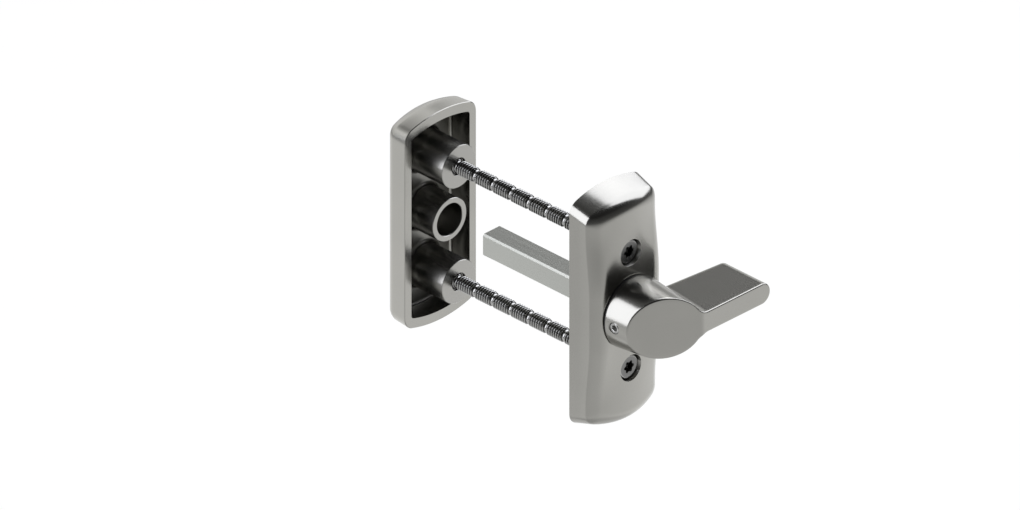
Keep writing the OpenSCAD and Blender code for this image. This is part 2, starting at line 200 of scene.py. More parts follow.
def tube(name, profile, z, around):
    """A turned solid with a hole right through it: the profile is a closed line."""
    return closed_band(name, [[(r * math.cos(a), y, z + r * math.sin(a)) for r, y in profile]
                              for a in full_turn(around)])


def arc(cr, cy, r, start, end, steps):
    """Points of an arc in the [radius, y] plane, with angles in degrees from the radius axis."""
    return [(cr + r * math.cos(math.radians(mix(start, end, k / steps))),
             cy + r * math.sin(math.radians(mix(start, end, k / steps))))
            for k in range(steps + 1)]


def join(target, others):
    """Joins closed meshes into the first one, without welding them."""
    pieces = [target] + others
    with bpy.context.temp_override(active_object=target, selected_editable_objects=pieces):
        bpy.ops.object.join()


def merge_flats(obj):
    """Joins faces that lie in one plane."""
    bm = bmesh.new()
    bm.from_mesh(obj.data)
    bmesh.ops.dissolve_limit(bm, angle_limit=FLAT_ANGLE, verts=bm.verts, edges=bm.edges)
    bm.to_mesh(obj.data)
    bm.free()
    return obj


def keep_flats(mesh, found):
    """Gives large flat faces their own direction, and the rounded edges beside them the same."""
    flat = {}
    for face in mesh.polygons:
        if face.area > FLAT_AREA:
            for vertex in face.vertices:
                flat.setdefault(vertex, []).append(face.normal.copy())
    for face in mesh.polygons:
        for loop in face.loop_indices:
            for normal in flat.get(mesh.loops[loop].vertex_index, ()):
                if face.normal.angle(normal, math.pi) < SHARP_ANGLE:
                    found[loop] = normal


def cut(obj, cutters, union=()):
    """Cuts solids out of a mesh, or adds them, and keeps the uncut surface's own shading."""
    tools = [(tool, "DIFFERENCE") for tool in cutters] + [(tool, "UNION") for tool in union]
    for each in [obj] + [tool for tool, _ in tools]:
        while len(each.data.materials) <= INSIDE:
            each.data.materials.append(None)
    for tool, _ in tools:
        for face in tool.data.polygons:
            face.material_index = INSIDE
    before = obj.data.copy()
    before.calc_loop_triangles()
    triangles = list(before.loop_triangles)
    tree = BVHTree.FromPolygons([v.co for v in before.vertices],
                                [t.vertices[:] for t in triangles])
    normals = [Vector(n.vector) for n in before.corner_normals]
    for tool, how in tools:
        step = obj.modifiers.new("cut", "BOOLEAN")
        step.operation = how
        step.solver = "EXACT"
        step.object = tool
        bpy.context.view_layer.objects.active = obj
        bpy.ops.object.modifier_apply(modifier=step.name)
    for tool, _ in tools:
        bpy.data.objects.remove(tool, do_unlink=True)
    mesh = obj.data
    smooth(obj)
    found = [Vector(n.vector) for n in mesh.corner_normals]
    for face in mesh.polygons:
        if tree.find_nearest(face.center)[3] > FACE_NEAR:
            continue
        for loop in face.loop_indices:
            co = mesh.vertices[mesh.loops[loop].vertex_index].co
            inward = co.lerp(face.center, TOWARD_MIDDLE)
            spot, _, index, distance = tree.find_nearest(inward)
            if distance > CORNER_NEAR:
                continue
            tri = triangles[index]
            corners = [before.vertices[v].co for v in tri.vertices]
            ends = [normals[c] for c in tri.loops]
            normal = barycentric_transform(spot, *corners, *ends).normalized()
            if normal.dot(face.normal) > SAME_SIDE:
                found[loop] = normal
    keep_flats(mesh, found)
    mesh.normals_split_custom_set(found)
    bpy.data.meshes.remove(before)
    return obj


# Plate outlines: (half width, half height, end radius, corner radius)

# Steps along a quarter of an outline, and half the length of its even middle part
BAND_STEPS = 6
SIDE_STEPS = 26
CORNER_STEPS = 12
END_STEPS = 22
PLAIN_BAND = 4.0


def corner_z(o):
    """Height of the centre of a corner's arc, which touches the side and the end."""
    w, h, end_r, corner_r = o
    return h - end_r + math.sqrt((end_r - corner_r) ** 2 - (w - corner_r) ** 2)


def quarter(o, band):
    """A quarter of an outline, from the middle of its straight side to its tip."""
    w, h, end_r, corner_r = o
    top = corner_z(o)
    turn = math.atan2(top - (h - end_r), w - corner_r)
    points = [(w, band * k / BAND_STEPS) for k in range(BAND_STEPS)]
    points += [(w, mix(band, top, k / SIDE_STEPS)) for k in range(SIDE_STEPS + 1)]
    for k in range(1, CORNER_STEPS + 1):
        a = turn * k / CORNER_STEPS
        points.append((w - corner_r + corner_r * math.cos(a), top + corner_r * math.sin(a)))
    for k in range(1, END_STEPS + 1):
        a = mix(turn, math.pi / 2, k / END_STEPS)
        points.append((end_r * math.cos(a) if k < END_STEPS else 0.0,
                       h - end_r + end_r * math.sin(a)))
    return points


def whole(o, band=PLAIN_BAND):
    """A whole outline, closed, starting at the top tip."""
    q = quarter(o, band)
    half = q[::-1] + [(x, -z) for x, z in q[1:]]
    return half + [(-x, z) for x, z in half[-2:0:-1]]


def inset(o, side, end, corner_r):
    return (o[0] - side, o[1] - end, o[2] - end, corner_r)


class Dome:
    """A plate with leaning sides, a rounded edge and a crowned face.

    base, crease and face are the outlines of the plate's foot, of its edge and of its face.
    heights holds the crease's height beside the flat band, beside the crown and at the tips.
    The band reaches from the plate's middle to band on each side, blends into the crown over
    blend, and begins mid_edge inside the crease.
    """

    # The rounded edge: how far it turns, in how many steps, and where its first step lies
    SWEEP = math.radians(70)
    STEPS = 16
    FIRST_STEP = 0.35
    # Small roundings: shares of the half width and half height at the rim, of the side's height
    RIM_SHARES = (0.2 / 16, 0.2 / 40)
    CREASE_SHARE = 0.3 / 6
    SIDE_HEIGHTS = (0.2, 2.0, 4.0)
    COLUMNS = 26

    def __init__(self, base, crease, face, thick, crown, heights, mid_edge, band, blend):
        self.base, self.crease, self.face = base, crease, face
        self.thick, self.crown, self.heights, self.mid_edge = thick, crown, heights, mid_edge
        self.band, self.blend = band, blend
        self.rows_from = band if band > 0 else PLAIN_BAND

    def off_band(self, z):
        """Runs from 0 on the flat band to 1 where the crown is full."""
        return ease((abs(z) - self.band) / self.blend) if self.band > 0 else 1.0

    def height(self, x, z):
        fall = self.crown - math.sqrt(self.crown ** 2 - x * x)
        return self.thick - fall * self.off_band(z)

    def rings(self):
        """Rings from the plate's foot to the border of its face, and that border's outline."""
        low = whole(self.base, self.rows_from)
        mid = whole(self.crease, self.rows_from)
        narrow = (self.crease[0] - self.mid_edge) / self.face[0]
        inner = [(x * mix(narrow, 1.0, self.off_band(z)), z)
                 for x, z in whole(self.face, self.rows_from)]
        rise = self.heights[2] - self.heights[1]
        top = []
        for x, z in mid:
            side = mix(self.heights[0], self.heights[1], self.off_band(z))
            top.append(side + rise * (1 - (x / self.crease[0]) ** 2))
        out = [[(mix(x, 0, self.RIM_SHARES[0]), 0.0, z * (1 - self.RIM_SHARES[1]))
                for x, z in low]]
        for h in self.SIDE_HEIGHTS:
            out.append([(mix(a[0], b[0], h / t), h, mix(a[1], b[1], h / t))
                        for a, b, t in zip(low, mid, top)])
        share = 1 - self.CREASE_SHARE
        out.append([(mix(a[0], b[0], share), t * share, mix(a[1], b[1], share))
                    for a, b, t in zip(low, mid, top)])
        for s in [self.FIRST_STEP] + list(range(1, self.STEPS + 1)):
            a = self.SWEEP * (1 - s / self.STEPS)
            k = math.sin(a) / math.sin(self.SWEEP)
            ring = []
            for start, end, t in zip(inner, mid, top):
                x = mix(start[0], end[0], k)
                z = mix(start[1], end[1], k)
                drop = self.height(*end) - t
                fall = drop * (1 - math.cos(a)) / (1 - math.cos(self.SWEEP))
                ring.append((x, self.height(x, z) - fall, z))
            out.append(ring)
        return out, inner

    def build(self, name, place):
        """The plate's skin. place turns [x, height, z] into a point of the part's frame."""
        rings, inner = self.rings()
        count = len(rings[0])
        points = [p for ring in rings for p in ring]
        first = len(points)
        for side, z in inner[1:count // 2]:
            for j in range(1, self.COLUMNS):
                x = side * (1 - 2 * j / self.COLUMNS)
                points.append((x, self.height(x, z), z))
        faces = wall_faces(count, len(rings))
        faces += row_faces((len(rings) - 1) * count, count, first, self.COLUMNS)
        faces.append(tuple(range(count)))
        return outward(make_object(name, [place(*p) for p in points], faces))


# How far the block of a hollow stands out of the plate's open side, and the steps of its edge
HOLLOW_MOUTH = 1.0
HOLLOW_STEPS = 6
SMALLEST_CORNER = 0.4


def hollow_block(name, o, floor_round, depth, place):
    """The space inside a hollow plate, with its floor's edge rounded."""
    rings = []
    for h in (-HOLLOW_MOUTH, 0.0, depth - floor_round):
        rings.append([(x, h, z) for x, z in whole(o)])
    for k in range(1, HOLLOW_STEPS + 1):
        a = math.radians(90 * k / HOLLOW_STEPS)
        d = floor_round * (1 - math.cos(a))
        h = depth - floor_round * (1 - math.sin(a))
        small = inset(o, d, d, max(SMALLEST_CORNER, o[3] - d))
        rings.append([(x, h, z) for x, z in whole(small)])
    return merge_flats(loft(name, [[place(*p) for p in ring] for ring in rings]))


def to_front(x, h, z):
    return (x, -h, z)


def to_rear(x, h, z):
    return (x, PLATE_GAP + h, z)


# Front plate

def make_front_plate():
    base = (16.0, 42.8, 39.0, 4.7)
    crease = (15.4, 40.6, 36.8, 4.4)
    face = (11.3, 35.75, 31.95, 1.175)
    dome = Dome(base, crease, face, thick=FRONT_THICK, crown=36.0, heights=(8.3, 6.75, 8.4),
                mid_edge=5.6, band=8.0, blend=24.0)
    plate = dome.build("front_plate_shell", to_front)
    wall, corner, floor_round, depth = 2.8, 1.3, 1.0, 7.4
    hollow = hollow_block("front_hollow", inset(base, wall, wall, corner), floor_round, depth,
                          to_front)
    neck_boss = lathe("neck_boss", [(10.5, -12.0), (10.5, -3.7), (10.2, -3.4)], around=64)
    boss = [(6.0, -12.0), (6.0, -0.3), (5.7, 0.0), (5.7, 2.0)]
    bosses = [lathe("screw_boss", boss, z, 64) for z in (-FIXING_Z, FIXING_Z)]
    cut(hollow, [neck_boss] + bosses)
    counterbore = [(5.05, -13.4), (4.85, -12.2), (4.6, -11.75), (4.6, -7.7), (2.75, -7.7),
                   (2.75, 2.0)]
    holes = [hollow, lathe("neck_hole", [(8.05, -14.0), (8.05, 2.0)])]
    holes += [lathe("counterbore", counterbore, z, 72) for z in (-FIXING_Z, FIXING_Z)]
    return cut(plate, holes)


# Thumb turn. Heights are counted from the front plate's back.

KNOB_BASE = 12.4
KNOB_R = 12.5
KNOB_TAPER = math.tan(math.radians(5.7))
TURN_TOP = 34.1

# The oblique face over the knob, and how softly it meets the lever's front edge
FACE_MEETS = 10.0
FACE_SLOPE = math.tan(math.radians(30.5))
FACE_SOFT = 1.3

LEVER_HALF = 3.7
LEVER_TIP = 40.0

# The lever's back edge: its height and slope, and where and how softly it leaves the knob
LEVER_BASE = 13.1
LEVER_SLOPE = math.tan(math.radians(5.3))
LEVER_MEETS = 11.4
LEVER_SOFT = 1.4

FILLET_R = 5.0
FILLET_Z = LEVER_HALF + FILLET_R

# Steps along half of the outline: the knob, the fillet, the lever's side and its tip
ROUND_STEPS = 60
WEB_STEPS = 22
LEVER_STEPS = 22
TIP_STEPS = 16

# The first guess for the height of a point of the side, and how often it is corrected
SIDE_GUESS = 24.0
SIDE_PASSES = 4


def knob_radius(h):
    return KNOB_R - (h - FRONT_THICK) * KNOB_TAPER


def turn_top(x):
    """Height of the oblique face, running softly into the lever's front edge."""
    gap = (x - FACE_MEETS) * FACE_SLOPE
    width = FACE_SOFT * FACE_SLOPE / 2
    if gap > width:
        return TURN_TOP
    if gap < -width:
        return TURN_TOP + gap
    return TURN_TOP - (width - gap) ** 2 / (4 * width)


def turn_low(x):
    """Height of the knob's base, running softly into the lever's back edge."""
    lever = LEVER_BASE + (x - KNOB_R) * LEVER_SLOPE
    return mix(KNOB_BASE, lever, ease((x - LEVER_MEETS) / LEVER_SOFT))


def turn_outline(h, shrink):
    """The upper half of the thumb turn's outline at a height, from the knob's left to the tip."""
    r = knob_radius(h)
    web_x = math.sqrt((r + FILLET_R) ** 2 - FILLET_Z ** 2)
    meet = math.atan2(FILLET_Z, web_x)
    tip_x = LEVER_TIP - LEVER_HALF
    points = []
    for k in range(ROUND_STEPS + 1):
        a = mix(math.pi, meet, k / ROUND_STEPS)
        points.append(((r - shrink) * math.cos(a), (r - shrink) * math.sin(a)))
    for k in range(1, WEB_STEPS + 1):
        a = mix(math.pi + meet, 1.5 * math.pi, k / WEB_STEPS)
        points.append((web_x + (FILLET_R + shrink) * math.cos(a),
                       FILLET_Z + (FILLET_R + shrink) * math.sin(a)))
    for k in range(1, LEVER_STEPS + 1):
        points.append((mix(web_x, tip_x, k / LEVER_STEPS), LEVER_HALF - shrink))
    for k in range(1, TIP_STEPS + 1):
        a = math.pi / 2 * (1 - k / TIP_STEPS)
        points.append((tip_x + (LEVER_HALF - shrink) * math.cos(a),
                       (LEVER_HALF - shrink) * math.sin(a)))
    points[0] = (-(r - shrink), 0.0)
    points[-1] = (points[-1][0], 0.0)
    return points


outline_store = {}


def stored_outline(h, shrink):
    key = (round(h, 2), round(shrink, 4))
    if key not in outline_store:
        outline_store[key] = turn_outline(*key)
    return outline_store[key]


def side_point(index, share, shrink, lift):
    """A point of the side: its place depends on its height, which depends on its place."""
    h = SIDE_GUESS
    for _ in range(SIDE_PASSES):
        x, z = stored_outline(h, shrink)[index]
        h = mix(turn_low(x), turn_top(x), share) + lift
    return (x, h, z)


def make_thumb_turn():
    top_round, low_round, round_steps, levels, columns = 0.45, 0.25, 6, 22, 18
    n = ROUND_STEPS + WEB_STEPS + LEVER_STEPS + TIP_STEPS + 1
    settings = []
    for k in range(round_steps, 0, -1):
        a = math.radians(90 * k / round_steps)
        settings.append((0.0, low_round * (1 - math.cos(a)), low_round * (1 - math.sin(a))))
    for k in range(levels + 1):
        settings.append((k / levels, 0.0, mix(low_round, -top_round, k / levels)))
    for k in range(1, round_steps + 1):
        a = math.radians(90 * k / round_steps)
        settings.append((1.0, top_round * (1 - math.cos(a)), -top_round * (1 - math.sin(a))))
    rings = []
    for share, shrink, lift in settings:
        half = [side_point(i, share, shrink, lift) for i in range(n)]
        rings.append(half + [(x, h, -z) for x, h, z in half[-2:0:-1]])
    count = len(rings[0])
    points = [p for ring in rings for p in ring]
    faces = wall_faces(count, len(rings))
    for r in (0, len(rings) - 1):
        first = len(points)
        for x, h, z in rings[r][1:n - 1]:
            points += [(x, h, z * (1 - 2 * j / columns)) for j in range(1, columns)]
        faces += row_faces(r * count, count, first, columns)
    body = outward(make_object("thumb_turn_body", [to_front(*p) for p in points], faces))
    neck = lathe("neck", [(7.0, -13.4), (7.0, -2.4), (6.7, -2.4), (6.7, -1.3), (7.0, -1.3),
                          (7.0, -0.9), (6.7, -0.6)])
    bore = 4.05
    corners = ((bore, bore), (-bore, bore), (-bore, -bore), (bore, -bore))
    socket = loft("socket", [[(x, y, z) for x, z in corners] for y in (-22.0, 1.0)])
    hole = lathe("grub_hole", [(2.2, -15.0), (2.2, -12.25), (2.0, -12.0), (2.0, -3.0)], 0.0, 48)
    for v in hole.data.vertices:
        x, y, z = v.co
        v.co = (y, -x - GRUB_H * MM, z)
    outward(hole)
    return cut(cut(body, [], union=[neck]), [hole, socket])


# Spindle, grub screw and small turned pieces

def make_spindle():
    front, middle, end = -22.0, 10.0, 50.7
    half, chamfer, bevel = 4.0, 0.6, 0.35
    c = half - chamfer
    outline = [(half, -c), (half, c), (c, half), (-c, half), (-half, c), (-half, -c), (-c, -half),
               (c, -half)]
    rings = []
    for y, shrink in ((front, bevel), (front + bevel, 0.0), (middle, 0.0), (end - bevel, 0.0),
                      (end, bevel)):
        k = (half - shrink) / half
        rings.append([(x * k, y, z * k) for x, z in outline])
    bar = loft("square_spindle", rings)
    smooth(bar, angle=math.radians(20))
    return bar


def hexagon(a, flats):
    """Radius of a hexagon at an angle, from its width across flats."""
    turn = (a + math.pi / 6) % (math.pi / 3) - math.pi / 6
    return flats / 2 / math.cos(turn)


def make_grub_screw():
    outer, inner, bevel, flats = 11.9, 4.0, 0.2, 2.0
    crest, root, pitch = 1.94, 1.94 - 0.3, 0.7
    angles = full_turn(72)
    rings = []
    for size, x in ((0.25, -outer + 1.3), (1.0, -outer + 1.3), (1.0, -outer + 0.1)):
        radii = [size * hexagon(a, flats) for a in angles]
        rings.append([(x, r * math.cos(a), r * math.sin(a)) for r, a in zip(radii, angles)])
    profile = [(1.25, -outer), (crest - bevel, -outer), (crest, -outer + bevel)]
    x = -outer + bevel + 0.2
    while x + pitch < -inner - bevel:
        profile += [(crest, x), (root, x + 0.3 * pitch), (root, x + 0.45 * pitch),
                    (crest, x + 0.75 * pitch)]
        x += pitch
    profile += [(crest, -inner - bevel), (crest - bevel, -inner)]
    for r, x in profile:
        rings.append([(x, r * math.cos(a), r * math.sin(a)) for a in angles])
    return loft("grub_screw_m4", [[(x, y - GRUB_H, z) for x, y, z in ring] for ring in rings])


def make_spring_washer():
    """A waved ring of spring steel, three waves round."""
    inner, outer, thick = 7.25, 9.5, 0.35
    middle, wave, waves = -2.9, 0.24, 3
    sections = []
    for a in full_turn(144):
        y = middle + wave * math.cos(waves * a)
        sections.append([(r * math.cos(a), y + side * thick / 2, r * math.sin(a))
                         for r, side in ((inner, -1), (outer, -1), (outer, 1), (inner, 1))])
    return closed_band("waved_washer", sections)


# Fixing screws

HEAD_TOP = -10.9
HEAD_R = 4.0
SCREW_TIP = 72.6
TIP_R = 1.4
THREAD_R = 2.5
ROOT_R = 2.0
RIDGE = 1.0
RIDGE_STEPS = 12
NOTCH_EVERY = 8.0
NOTCHES = 8
NOTCH_R = 1.8
NOTCH_HALF = 1.3
THREAD_START = SCREW_TIP - (NOTCHES + 1) * NOTCH_EVERY
THREAD_SOFT = 0.8

# The cone at the tip that cuts the thread: its smallest radius, and how fast it widens
CONE_R = 1.95
CONE_SLOPE = 0.8

# The six-lobe recess: its radius between lobes and in them, and its (scale, depth) rings
LOBE_LOW = 1.56
LOBE_HIGH = 2.2
RECESS = ((0.35, 2.3), (0.93, 1.9), (0.97, 0.14), (1.02, 0.0))


def thread_radius(turns):
    """Radius of the thread at a place counted in turns, with round crests and roots."""
    return mix(ROOT_R, THREAD_R, 0.5 + 0.5 * math.cos(2 * math.pi * turns))


def screw_radius(y, a):
    """Radius of the screw's threaded length at a distance y and an angle a."""
    r = thread_radius((SCREW_TIP - y) / RIDGE + a / (2 * math.pi) + 0.5)
    for k in range(1, NOTCHES + 1):
        off = abs(y - (SCREW_TIP - k * NOTCH_EVERY))
        if off < NOTCH_HALF:
            r = min(r, NOTCH_R + 2 * (THREAD_R - NOTCH_R) * (off / NOTCH_HALF) ** 2)
    r = mix(THREAD_R, r, ease((y - THREAD_START) / THREAD_SOFT))
    return min(r, CONE_R + (SCREW_TIP - y) * CONE_SLOPE)


def six_lobe(a, size):
    """Radius of a rounded six-lobe recess at an angle."""
    wave = 0.5 + 0.5 * math.cos(6 * a)
    return size * mix(LOBE_LOW, LOBE_HIGH, wave ** 0.8)


def make_screw(name, z):
    around, bevel = 48, 0.3
    angles = full_turn(around)
    rings = [round_ring([six_lobe(a, size) for a in angles], HEAD_TOP + y, z)
             for size, y in RECESS]
    plain = [(3.1, 0.0)]
    plain += [(HEAD_R - bevel + bevel * math.sin(t), bevel - bevel * math.cos(t))
              for t in (math.pi / 2 * k / 4 for k in range(5))]
    plain += [(HEAD_R, 3.1), (3.9, 3.2), (2.9, 3.2), (2.5, 3.5), (2.5, 6.0)]
    rings += [round_ring([r] * around, HEAD_TOP + y, z) for r, y in plain]
    start = THREAD_START - 0.4
    step = RIDGE / RIDGE_STEPS
    for k in range(int(round((SCREW_TIP - start) / step)) + 1):
        y = start + k * step
        rings.append(round_ring([screw_radius(y, a) for a in angles], y, z))
    rings.append(round_ring([TIP_R] * around, SCREW_TIP, z))
    screw = loft(name, rings)
    smooth(screw, angle=math.radians(40))
    return screw


# Rear plate and posts

# The ring round each post's foot: its rounding, how deep it goes into the plate's floor, and
# how near to the post and the floor a face is a part of it
FOOT_ROUND = 1.25
FOOT_SUNK = 0.3
FOOT_REACH = 1.3
FOOT_DEPTH = 0.4

POST_FOOT = 82.3
POST_HOLE_END = 81.3
POST_EDGE = 0.15


def make_rear_plate():
    base = (16.0, 38.1, 44.5, 4.8)
    side = (15.6, 37.7, 44.1, 4.6)
    face = (12.2, 34.3, 40.7, 1.6)
    dome = Dome(base, side, face, thick=10.4, crown=87.0, heights=(5.9, 5.9, 5.9), mid_edge=3.4,
                band=0.0, blend=0.0)
    plate = dome.build("rear_plate_shell", to_rear)
    side_wall, end_wall, corner, floor_round = 3.0, 3.5, 1.3, 1.0
    hollow = hollow_block("rear_hollow", inset(base, side_wall, end_wall, corner), floor_round,
                          FLOOR_Y - PLATE_GAP, to_rear)
    cut(plate, [hollow])
    r = FOOT_ROUND
    profile = [(POST_R, FLOOR_Y + FOOT_SUNK), (POST_R, FLOOR_Y - r)]
    profile += arc(POST_R + r, FLOOR_Y - r, r, 180, 90, 8)[1:]
    profile += [(POST_R + r, FLOOR_Y + FOOT_SUNK)]
    join(plate, [tube("foot_ring", profile, z, 96) for z in (-FIXING_Z, 0.0, FIXING_Z)])
    for face in plate.data.polygons:
        x, y, _ = face.center / MM
        if abs(x) < POST_R + FOOT_REACH and FLOOR_Y - FOOT_REACH < y < FLOOR_Y + FOOT_DEPTH:
            face.material_index = INSIDE
    return plate


def make_threaded_post(name, z):
    mouth = 65.1
    profile = [(2.55, POST_HOLE_END), (2.55, mouth + 1.6), (3.05, mouth + 1.2),
               (3.05, mouth + 0.1), (3.15, mouth), (POST_R - POST_EDGE, mouth),
               (POST_R, mouth + POST_EDGE), (POST_R, POST_FOOT)]
    return lathe(name, profile, z, 128)


def make_guide_post():
    mouth, bore = 69.2, 5.6
    profile = [(bore, POST_HOLE_END), (bore, mouth + POST_EDGE), (bore + POST_EDGE, mouth),
               (POST_R - POST_EDGE, mouth), (POST_R, mouth + POST_EDGE), (POST_R, POST_FOOT)]
    return lathe("guide_post", profile, 0.0, 128)


# Materials

class Graph:
    """The nodes of a material or a world, with short calls for what is used often."""

    def __init__(self, tree):
        self.nodes = tree.nodes
        self.links = tree.links

    def feed(self, socket, value):
        """Links a socket to another one, or gives it a plain value."""
        if isinstance(value, bpy.types.NodeSocket):
            self.links.new(value, socket)
        else:
            socket.default_value = value

    def place(self, kind):
        return self.nodes.new("ShaderNodeTexCoord").outputs[kind]

    def split(self, vector):
        node = self.nodes.new("ShaderNodeSeparateXYZ")
        self.links.new(vector, node.inputs["Vector"])
        return node.outputs

    def length(self, vector):
        node = self.nodes.new("ShaderNodeVectorMath")
        node.operation = "LENGTH"
        self.links.new(vector, node.inputs[0])
        return node.outputs["Value"]

    def calculate(self, operation, first, second=None):
        node = self.nodes.new("ShaderNodeMath")
        node.operation = operation
        self.feed(node.inputs[0], first)
        if second is not None:
            self.feed(node.inputs[1], second)
        return node.outputs[0]

    def times(self, first, second):
        return self.calculate("MULTIPLY", first, second)

    def bearing(self, x, y):
        """Bearing of a direction in degrees, counted from +X."""
        return self.calculate("DEGREES", self.calculate("ARCTAN2", y, x))

    def map_range(self, value, start=0.0, end=1.0, low=0.0, high=1.0, how="LINEAR"):
        """Runs from low to high while the value runs from start to end."""
        node = self.nodes.new("ShaderNodeMapRange")
        node.interpolation_type = how
        node.inputs["From Min"].default_value = start
        node.inputs["From Max"].default_value = end
        node.inputs["To Min"].default_value = low
        node.inputs["To Max"].default_value = high
        self.links.new(value, node.inputs["Value"])
        return node.outputs["Result"]

    def soft_step(self, value, start, end, low=0.0, high=1.0):
        return self.map_range(value, start, end, low, high, "SMOOTHSTEP")

    def tone_ramp(self, value, start, end, tones):
        """A ramp of grey tones, given as [value, tone] pairs, between two ends of the value."""
        node = self.nodes.new("ShaderNodeValToRGB")
        self.links.new(self.map_range(value, start, end), node.inputs["Fac"])
        elements = node.color_ramp.elements
        while len(elements) < len(tones):
            elements.new(0.5)
        for element, (at, tone) in zip(elements, tones):
            element.position = (at - start) / (end - start)
            element.color = (tone, tone, tone, 1.0)
        return node.outputs["Color"]

    def noise(self, vector, scale, detail):
        node = self.nodes.new("ShaderNodeTexNoise")
        node.inputs["Scale"].default_value = scale
        node.inputs["Detail"].default_value = detail
        self.links.new(vector, node.inputs["Vector"])
        return node.outputs["Fac"]

    def blend(self, kind, share, first, second, how="MIX"):
        """A mix of two colours or two numbers."""
        node = self.nodes.new("ShaderNodeMix")
        node.data_type = kind
        node.blend_type = how
        self.feed(node.inputs["Factor"], share)
        self.feed(node.inputs["A"], first)
        self.feed(node.inputs["B"], second)
        return node.outputs["Result"]

    def blend_shaders(self, share, first, second):
        node = self.nodes.new("ShaderNodeMixShader")
        self.links.new(share, node.inputs["Fac"])
        self.links.new(first, node.inputs[1])
        self.links.new(second, node.inputs[2])
        return node.outputs["Shader"]

    def ray_mask(self, first, *others):
        """One where any of the named kinds of ray looks."""
        rays = self.nodes.new("ShaderNodeLightPath")
        mask = rays.outputs[first]
        for kind in others:
            mask = self.calculate("MAXIMUM", mask, rays.outputs[kind])
        return mask


FINE_DETAIL = 4.0
CLOUD_SCALE = 90.0
CLOUD_DETAIL = 3.0
ROUGH_SPREAD = (0.85, 1.15)
BUMP_DISTANCE = 0.0001


def new_material(name):
    material = bpy.data.materials.new(name)
    material.use_nodes = True
    return material, Graph(material.node_tree)


def surface(name, colour, rough, grain=(1.0, 1.0, 1.0), grain_scale=2500.0, bump=0.02,
            variation=0.04, metallic=1.0):
    """A plated, drawn or moulded surface: fine grain, cloudy tone and small bumps."""
    material, graph = new_material(name)
    shader = graph.nodes["Principled BSDF"]
    shader.inputs["Metallic"].default_value = metallic
    place = graph.place("Object")
    stretch = graph.nodes.new("ShaderNodeMapping")
    stretch.inputs["Scale"].default_value = grain
    graph.links.new(place, stretch.inputs["Vector"])
    fine = graph.noise(stretch.outputs["Vector"], grain_scale, FINE_DETAIL)
    cloud = graph.noise(place, CLOUD_SCALE, CLOUD_DETAIL)
    darker = (*[c * (1 - variation) for c in colour], 1.0)
    lighter = (*[min(1.0, c * (1 + variation)) for c in colour], 1.0)
    graph.links.new(graph.blend("RGBA", cloud, darker, lighter), shader.inputs["Base Color"])
    low, high = [rough * share for share in ROUGH_SPREAD]
    graph.links.new(graph.map_range(fine, low=low, high=high), shader.inputs["Roughness"])
    raised = graph.nodes.new("ShaderNodeBump")
    raised.inputs["Strength"].default_value = bump
    raised.inputs["Distance"].default_value = BUMP_DISTANCE
    graph.links.new(fine, raised.inputs["Height"])
    graph.links.new(raised.outputs["Normal"], shader.inputs["Normal"])
    return material


def darken(graph, share):
    """Multiplies the base colour of a surface by a grey share, which paints shade into it."""
    colour = graph.nodes["Principled BSDF"].inputs["Base Color"]
    tone = colour.links[0].from_socket
    graph.links.new(graph.blend("RGBA", 1.0, tone, share, "MULTIPLY"), colour)


# Painted shade of a screw by the distance from its axis, for its threaded length and its head:
# roots, recess and head top are painted darker, while the crests, the notches and the head's rim
# keep the full tone, the rim as a painted highlight. The head's tones give way to the thread's at
# HEAD_ENDS below its top.
HEAD_ENDS = (2.8, 3.1)
SHADE_R = 4.0
THREAD_PAINTED_SHADE = [(1.5, 0.15), (1.75, 1.0), (1.95, 1.0), (2.02, 0.12), (2.15, 0.2), (2.38, 1.0)]
HEAD_PAINTED_SHADE = [(1.5, 0.12), (1.8, 0.38), (3.55, 0.45), (3.7, 1.0)]


def paint_screw_shade(material):
    """Paints shade into a screw's colour in its thread's roots, in the driver's recess and on top
    of its head, and leaves the head's rim lighter as a painted highlight.
    """
    graph = Graph(material.node_tree)
    x, y, z = graph.split(graph.place("Object"))
    up = graph.calculate("SUBTRACT", graph.calculate("ABSOLUTE", z), FIXING_Z * MM)
    flat = graph.nodes.new("ShaderNodeCombineXYZ")
    graph.links.new(x, flat.inputs["X"])
    graph.links.new(up, flat.inputs["Y"])
    radius = graph.length(flat.outputs["Vector"])
    thread, head = [graph.tone_ramp(radius, 0.0, SHADE_R * MM, [(r * MM, t) for r, t in tones])
                    for tones in (THREAD_PAINTED_SHADE, HEAD_PAINTED_SHADE)]
    along = graph.soft_step(y, *[(HEAD_TOP + h) * MM for h in HEAD_ENDS])
    darken(graph, graph.blend("RGBA", along, head, thread))


# Painted shade in corners: a corner is darkest where less than the first share of its
# surroundings is open, and has its full tone from the second share on
OPEN_SHARES = (0.25, 0.8)
OPEN_SAMPLES = 4


def paint_corner_shade(material, distance, darkest):
    """Paints shade into a surface's colour where others stand close to it, from an ambient
    occlusion node.
    """
    graph = Graph(material.node_tree)
    node = graph.nodes.new("ShaderNodeAmbientOcclusion")
    node.samples = OPEN_SAMPLES
    node.inputs["Distance"].default_value = distance
    darken(graph, graph.soft_step(node.outputs["AO"], *OPEN_SHARES, darkest, 1.0))


# Studio. Bearings are counted in degrees from +X, heights in degrees from the horizon.

# The pale wall: bearings of its two soft ends, how far the first end shifts between the
# heights in LEAN_HEIGHTS, and its tone by height
WALL_START = (44.8, 48.8)
WALL_END = (129.0, 137.0)
LEAN_HEIGHTS = (5.0, 30.0)
LEAN = (11.0, -1.5)
WALL_TONE = 1.25
WALL_UP = [(-12.0, 0.75), (10.0, 0.8), (31.0, 1.0), (40.0, 0.6), (50.0, 0.04)]

